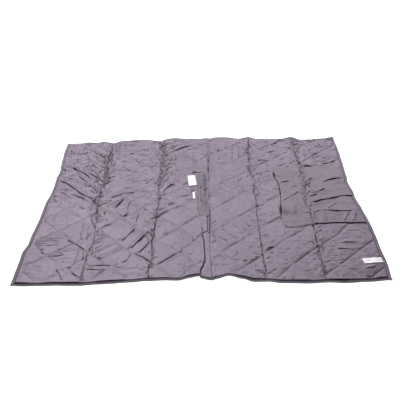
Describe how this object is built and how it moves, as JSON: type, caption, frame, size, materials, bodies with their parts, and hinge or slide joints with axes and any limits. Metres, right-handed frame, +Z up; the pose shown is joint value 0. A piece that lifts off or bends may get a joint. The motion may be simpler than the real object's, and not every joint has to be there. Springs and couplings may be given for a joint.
{
  "type": "quilted poncho liner",
  "caption": "Large rectangular diamond-quilted cloth with a neck slit, an open front with a fly, bound edges and a plain pocket, laid flat.",
  "frame": {"origin": "on the floor, under the middle of the cloth's bounding box", "axes": "+X along the longest side, towards the pocket; +Y from the open front hem to the back edge; +Z up"},
  "size_m": [2.1072, 1.6448, 0.0259],
  "materials": {
    "shell": "greyish mauve nylon, diamond-quilted, soft sheen",
    "plain": "plain greyish mauve nylon, soft sheen, creased",
    "binding": "matt mid-grey woven binding tape",
    "label": "blank white woven label",
    "snap": "dark grey moulded snap"
  },
  "bodies": {
    "root": {"quilt_left": "shell", "quilt_right": "shell", "front_fly": "shell", "binding_left": "binding", "binding_right": "binding", "binding_front_left": "binding", "binding_front_right": "binding", "binding_back": "binding", "pocket_panel": "plain", "neck_facing": "plain", "label_neck": "label", "label_tape": "binding", "label_strip": "label", "label_hem": "label", "snap_upper": "snap", "snap_lower": "snap"}
  },
  "joints": []
}
